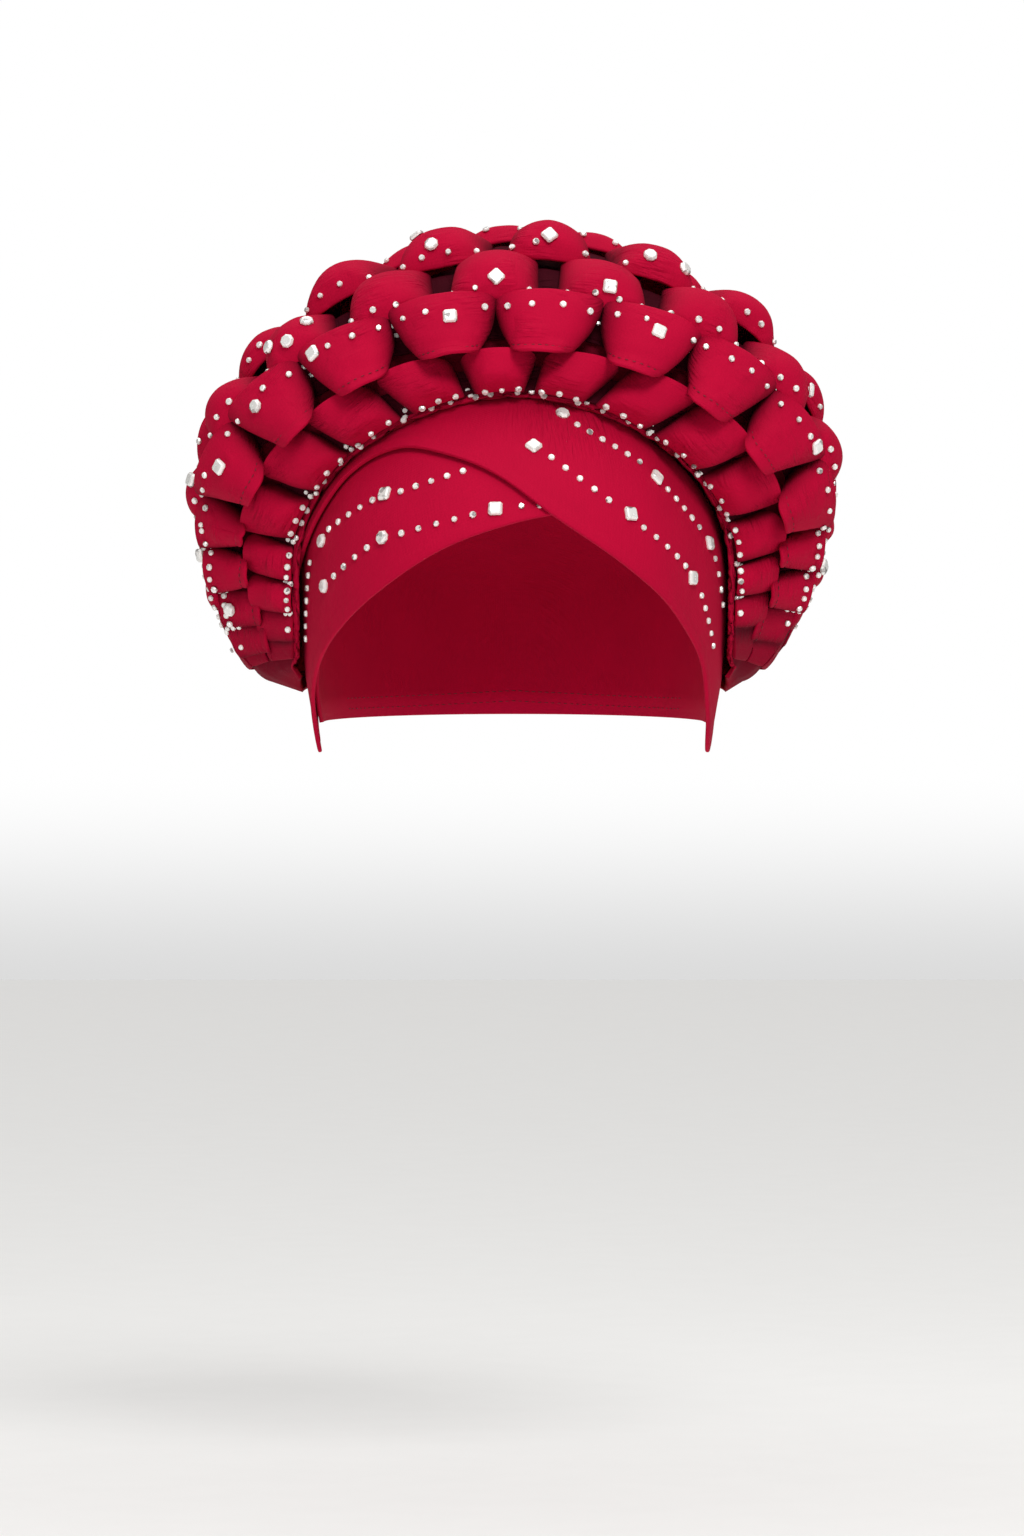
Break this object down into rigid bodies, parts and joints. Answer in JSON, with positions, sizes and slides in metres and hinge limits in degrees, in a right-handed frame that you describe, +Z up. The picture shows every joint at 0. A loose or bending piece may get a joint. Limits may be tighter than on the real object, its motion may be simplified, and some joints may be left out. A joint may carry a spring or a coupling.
{
  "type": "pleated turban",
  "caption": "Ready-to-wear head wrap: a fitted cap, a crossed forehead wrap and a puffed crown of brick-laid tubular pleats trimmed with flat-backed crystals.",
  "frame": {"origin": "the inside top of the fitted cap, where it sits on the crown of the wearer's head", "axes": "+Z up, -Y towards the forehead, +X towards the wearer's left ear"},
  "size_m": [0.2487, 0.1974, 0.1991],
  "materials": {
    "cap_knit": "matte scuba knit",
    "wrap_knit": "matte scuba knit",
    "crown_knit": "matte scuba knit",
    "pleat_knit": "matte scuba knit",
    "crystal": "foil-backed cut crystal"
  },
  "bodies": {
    "root": {"crown_base": "crown_knit", "crown_stone_01": "crystal", "crown_stone_02": "crystal", "crown_stone_03": "crystal", "crown_stone_04": "crystal", "crown_stone_05": "crystal", "crown_stone_06": "crystal", "crown_stone_07": "crystal", "crown_stone_08": "crystal", "crown_stone_09": "crystal", "crown_stone_10": "crystal", "crown_stone_11": "crystal", "crown_stone_12": "crystal", "crown_stone_13": "crystal", "crown_stone_14": "crystal", "crown_stone_15": "crystal", "crown_stone_16": "crystal", "crown_stone_17": "crystal", "crown_stone_18": "crystal", "crown_stone_19": "crystal", "crown_stone_20": "crystal", "crown_stone_21": "crystal", "fitted_cap": "cap_knit", "over_band": "wrap_knit", "pleat_row_1": "pleat_knit", "pleat_row_2": "pleat_knit", "pleat_row_3": "pleat_knit", "pleat_row_4": "pleat_knit", "pleat_row_5": "pleat_knit", "under_band": "wrap_knit", "wrap_stone_01": "crystal", "wrap_stone_02": "crystal", "wrap_stone_03": "crystal", "wrap_stone_04": "crystal", "wrap_stone_05": "crystal", "wrap_stone_06": "crystal", "wrap_stone_07": "crystal", "wrap_stone_08": "crystal", "wrap_stone_09": "crystal", "wrap_stone_10": "crystal", "wrap_stone_11": "crystal"}
  },
  "joints": []
}
